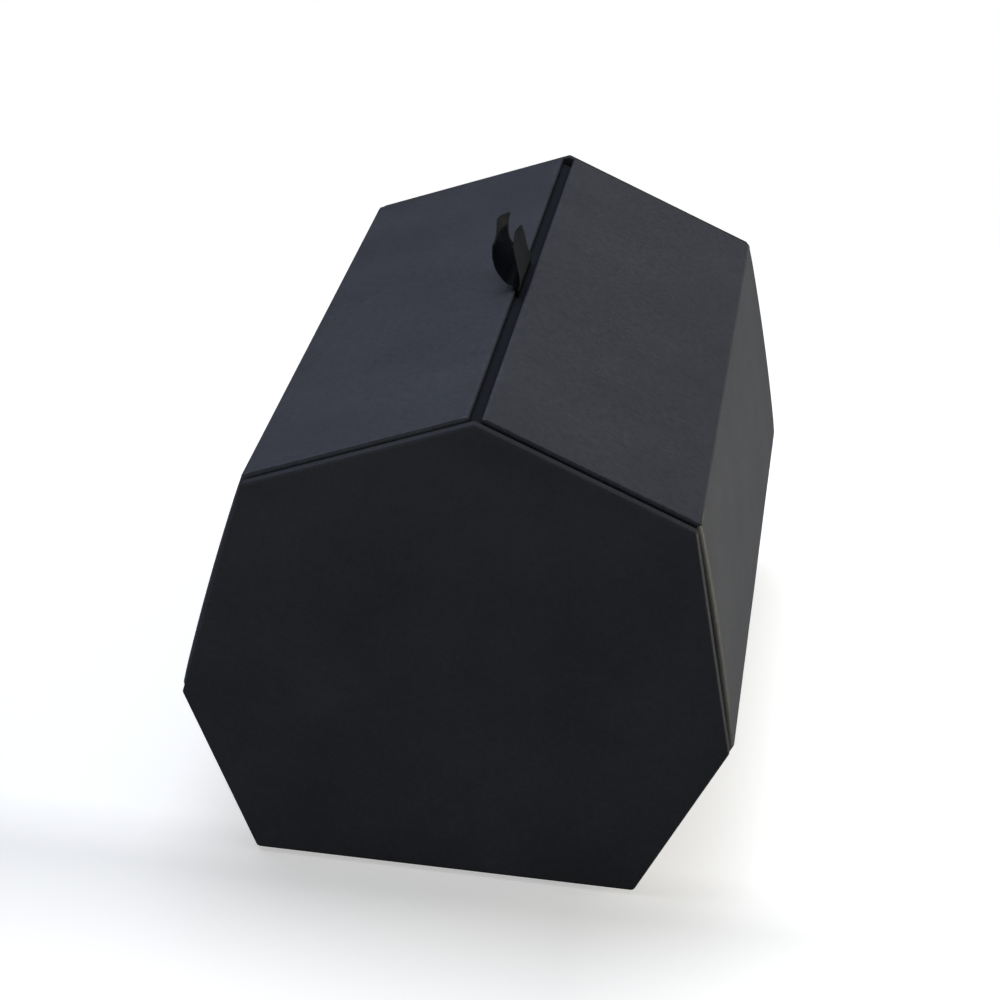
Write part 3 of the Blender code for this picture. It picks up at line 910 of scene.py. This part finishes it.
def band(name, front, rear, root_depth, curl, corner_curl):
    """One ply of the ribbon: its glued root under the left leaf, up the groove, and its free tail."""
    shape = bmesh.new()
    stamp = shape.verts.layers.float_vector.new("band")
    rows = []
    travelled = 0.0
    for i in range(BAND_ROWS + 1):
        t = i / BAND_ROWS
        free = max(0.0, (t - FREE_FROM) / (1 - FREE_FROM))
        rib = RIB_HEIGHT * math.sin(2 * math.pi * travelled / RIB_PITCH) * min(1.0, 4 * free)
        row = []
        for j in range(BAND_COLS + 1):
            v = j / BAND_COLS
            across = 2 * v - 1
            path = band_path(front, rear, root_depth, v)
            ahead = curve_point(path, min(1, t + LOOK_AHEAD)) - curve_point(path, max(0, t - LOOK_AHEAD))
            ahead.normalize()
            p = curve_point(path, t) + Vector((-ahead.y, ahead.x)) * (rib + curl * free * across**2)
            p.x += corner_curl * free**2 * max(0.0, (v - CORNER_FROM) / (1 - CORNER_FROM)) ** 2
            vertex = shape.verts.new((p.x, across * BAND_HALF * (1 - BAND_TAPER * free), p.y))
            vertex[stamp] = Vector((across * BAND_HALF, travelled, 0))
            row.append(vertex)
        rows.append(row)
        if i:
            middle = BAND_COLS // 2
            travelled += (row[middle].co - rows[-2][middle].co).length
    for near, far in zip(rows, rows[1:]):
        bridge(shape, near, far, closed=False)
    mesh = bpy.data.meshes.new(name)
    shape.to_mesh(mesh)
    shape.free()
    mesh.shade_smooth()
    obj = add_object(name, mesh)
    thicken(obj, PLY, 0)
    obj.data.materials.append(RIBBON_LOOK)
    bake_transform(obj)
    return obj


def ribbon():
    """The folded ribbon's two plies. They bend where they come out from under the left leaf."""
    left = band("ribbon_left_tail", LEFT_FRONT, LEFT_REAR, LEFT_ROOT_DEPTH, *LEFT_CURLS)
    right = band("ribbon_right_tail", RIGHT_FRONT, RIGHT_REAR, RIGHT_ROOT_DEPTH, *RIGHT_CURLS)
    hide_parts("pull_ribbon")
    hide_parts("ribbon_root")


# -------------------------------------------------------------------------- carried-over CAD nodes


def dress_nodes():
    """Give the CAD nodes that are still shown their own materials."""
    looks = {"magnet": NICKEL, "liner": LINING_LOOK, "end_board": GREYBOARD}
    for name, obj in frame["nodes"].items():
        if obj.hide_render:
            continue
        for word, look in looks.items():
            if word in name:
                obj.data.materials.clear()
                obj.data.materials.append(look)


# ------------------------------------------------------------------------------------------- stage

FLOOR_SIZE = 12
FLOOR_DROP = 0.0002
FLOOR_FILL = 0.53
# Painted light and shade on the floor's glow: it is raised to the right of the box, and lowered in a band of
# painted shadow in front of it.
FLOOR_RIGHT_PAINTED_LIGHT = 0.30
FLOOR_FRONT_PAINTED_SHADOW = -0.20
PAINTED_LIGHT_SPAN = (0.03, 0.10)
PAINTED_SHADOW_FADE_IN = (-0.158, -0.106)
PAINTED_SHADOW_FADE_OUT = (-0.11, -0.085)
FAR_SPAN = (0.17, 0.42)
SHOWN_FLOOR = (0.90, 0.87, 0.77, 1)
QUIET_FLOOR = (0.33, 0.335, 0.345, 1)
WHITE = (1, 1, 1, 1)
SURROUND = (0.100, 0.102, 0.114, 1)


def floor_look():
    """A pale sweep. It shows near white, with painted light to the right of the box and a painted shadow in
    front of it, and gives the box little light from below.
    """
    g = Graph("pale_floor")
    tooth = g.noise(g.position(), 60, 2)
    shown = g.node("BsdfDiffuse", {"Color": SHOWN_FLOOR, "Normal": g.bump(tooth, 0.0004, 0.05)})
    quiet = g.node("BsdfDiffuse", {"Color": QUIET_FLOOR})
    seen = g.node("LightPath").outputs["Is Camera Ray"]
    glow = g.node("Emission", {"Color": WHITE, "Strength": 1.0})
    split = g.node("SeparateXYZ", {0: g.position()}).outputs
    # The camera sees the floor glow: evenly, more to the right as painted light, and less in a band in front
    # of the box as painted shadow.
    lift = g.math("ADD", g.remap(split["X"], *PAINTED_LIGHT_SPAN, 0, FLOOR_RIGHT_PAINTED_LIGHT), FLOOR_FILL)
    shadow_fade_in = g.remap(split["Y"], *PAINTED_SHADOW_FADE_IN, 0, 1)
    shadow_fade_out = g.remap(split["Y"], *PAINTED_SHADOW_FADE_OUT, 1, 0)
    lift = g.math("ADD", lift, g.math("MULTIPLY", g.math("MULTIPLY", shadow_fade_in, shadow_fade_out), FLOOR_FRONT_PAINTED_SHADOW))
    fill = g.node("Emission", {"Color": WHITE, "Strength": lift})
    shown_with_painted_glow = g.node("AddShader", {0: shown.outputs[0], 1: fill.outputs[0]})
    near = g.node("MixShader", {0: seen, 1: quiet.outputs[0], 2: shown_with_painted_glow.outputs[0]})
    flat = g.node("VectorMath", {0: g.position((1, 1, 0))}, operation="LENGTH").outputs["Value"]
    far = g.remap(flat, *FAR_SPAN, 0, 1)
    mixed = g.node("MixShader", {0: g.math("MULTIPLY", far, seen), 1: near.outputs[0], 2: glow.outputs[0]})
    g.tree.links.new(mixed.outputs[0], g.out.inputs["Surface"])
    return g.material


def stage():
    """A plain floor just under the box."""
    bpy.ops.mesh.primitive_plane_add(size=FLOOR_SIZE, location=(0, 0, -FLOOR_DROP))
    floor = bpy.context.object
    floor.name = "floor"
    floor.data.materials.append(floor_look())


def studio_air():
    """A white surround for the camera, and a dim, cool one for the light that falls on the box."""
    world = bpy.data.worlds.new("studio")
    bpy.context.scene.world = world
    world.use_nodes = True
    tree = world.node_tree
    back = tree.nodes["Background"]
    path = tree.nodes.new("ShaderNodeLightPath")
    mix = tree.nodes.new("ShaderNodeMix")
    mix.data_type = "RGBA"
    tree.links.new(path.outputs["Is Camera Ray"], mix.inputs["Factor"])
    color_a, color_b = mix.inputs[6], mix.inputs[7]
    color_a.default_value = SURROUND
    color_b.default_value = WHITE
    tree.links.new(mix.outputs[2], back.inputs["Color"])


def softbox(name, place, size, power, color):
    """A rectangular area light aimed at the middle of the box."""
    light = bpy.data.lights.new(name, "AREA")
    light.shape = "RECTANGLE"
    light.size, light.size_y = size
    light.energy = power
    light.color = color
    obj = bpy.data.objects.new(name, light)
    bpy.context.scene.collection.objects.link(obj)
    obj.location = place
    obj.rotation_euler = (LIGHT_AIM - Vector(place)).to_track_quat("-Z", "Y").to_euler()


LIGHT_AIM = Vector((0, 0, 0.05))
CAMERA_AIM = Vector((-0.0028, 0.0, 0.0495))
CAMERA_AZIMUTH = 5.61
CAMERA_ELEVATION = 23.49
CAMERA_ROLL = 3.94
CAMERA_DISTANCE = 0.7993
CAMERA_LENS = 116.3


def camera():
    """The photo's viewpoint: from the front, a little to the right and above, with a slight roll."""
    azimuth, elevation = math.radians(CAMERA_AZIMUTH), math.radians(CAMERA_ELEVATION)
    back = Vector((
        math.sin(azimuth) * math.cos(elevation),
        -math.cos(azimuth) * math.cos(elevation),
        math.sin(elevation),
    ))
    data = bpy.data.cameras.new("camera")
    data.lens = CAMERA_LENS
    data.clip_start = 0.01
    obj = bpy.data.objects.new("camera", data)
    bpy.context.scene.collection.objects.link(obj)
    obj.location = CAMERA_AIM + back * CAMERA_DISTANCE
    obj.rotation_mode = "QUATERNION"
    obj.rotation_quaternion = Quaternion(back, math.radians(CAMERA_ROLL)) @ back.to_track_quat("Z", "Y")
    bpy.context.scene.camera = obj


end_plate("front", -1)
end_plate("rear", 1)
jacket()
leaf_cover("left", -1)
leaf_cover("right", 1)
groove_cover()
eave_crease("left", -1)
eave_crease("right", 1)
boards()
tray_lining()
gable_lining("front", -1)
gable_lining("rear", 1)
ribbon()
dress_nodes()

stage()
studio_air()
softbox("overhead", (-0.31, 0.30, 1.2), (1.3, 1.3), 10.8, (0.84, 0.92, 1.16))
softbox("right_side", (1.24, 0.12, 0.10), (0.8, 0.36), 15.0, (1.0, 0.955, 0.80))
softbox("front_fill", (-0.5, -1.5, 0.22), (1.2, 0.7), 5.1, (0.96, 0.98, 1.04))
camera()
bpy.context.scene.view_settings.view_transform = "Standard"
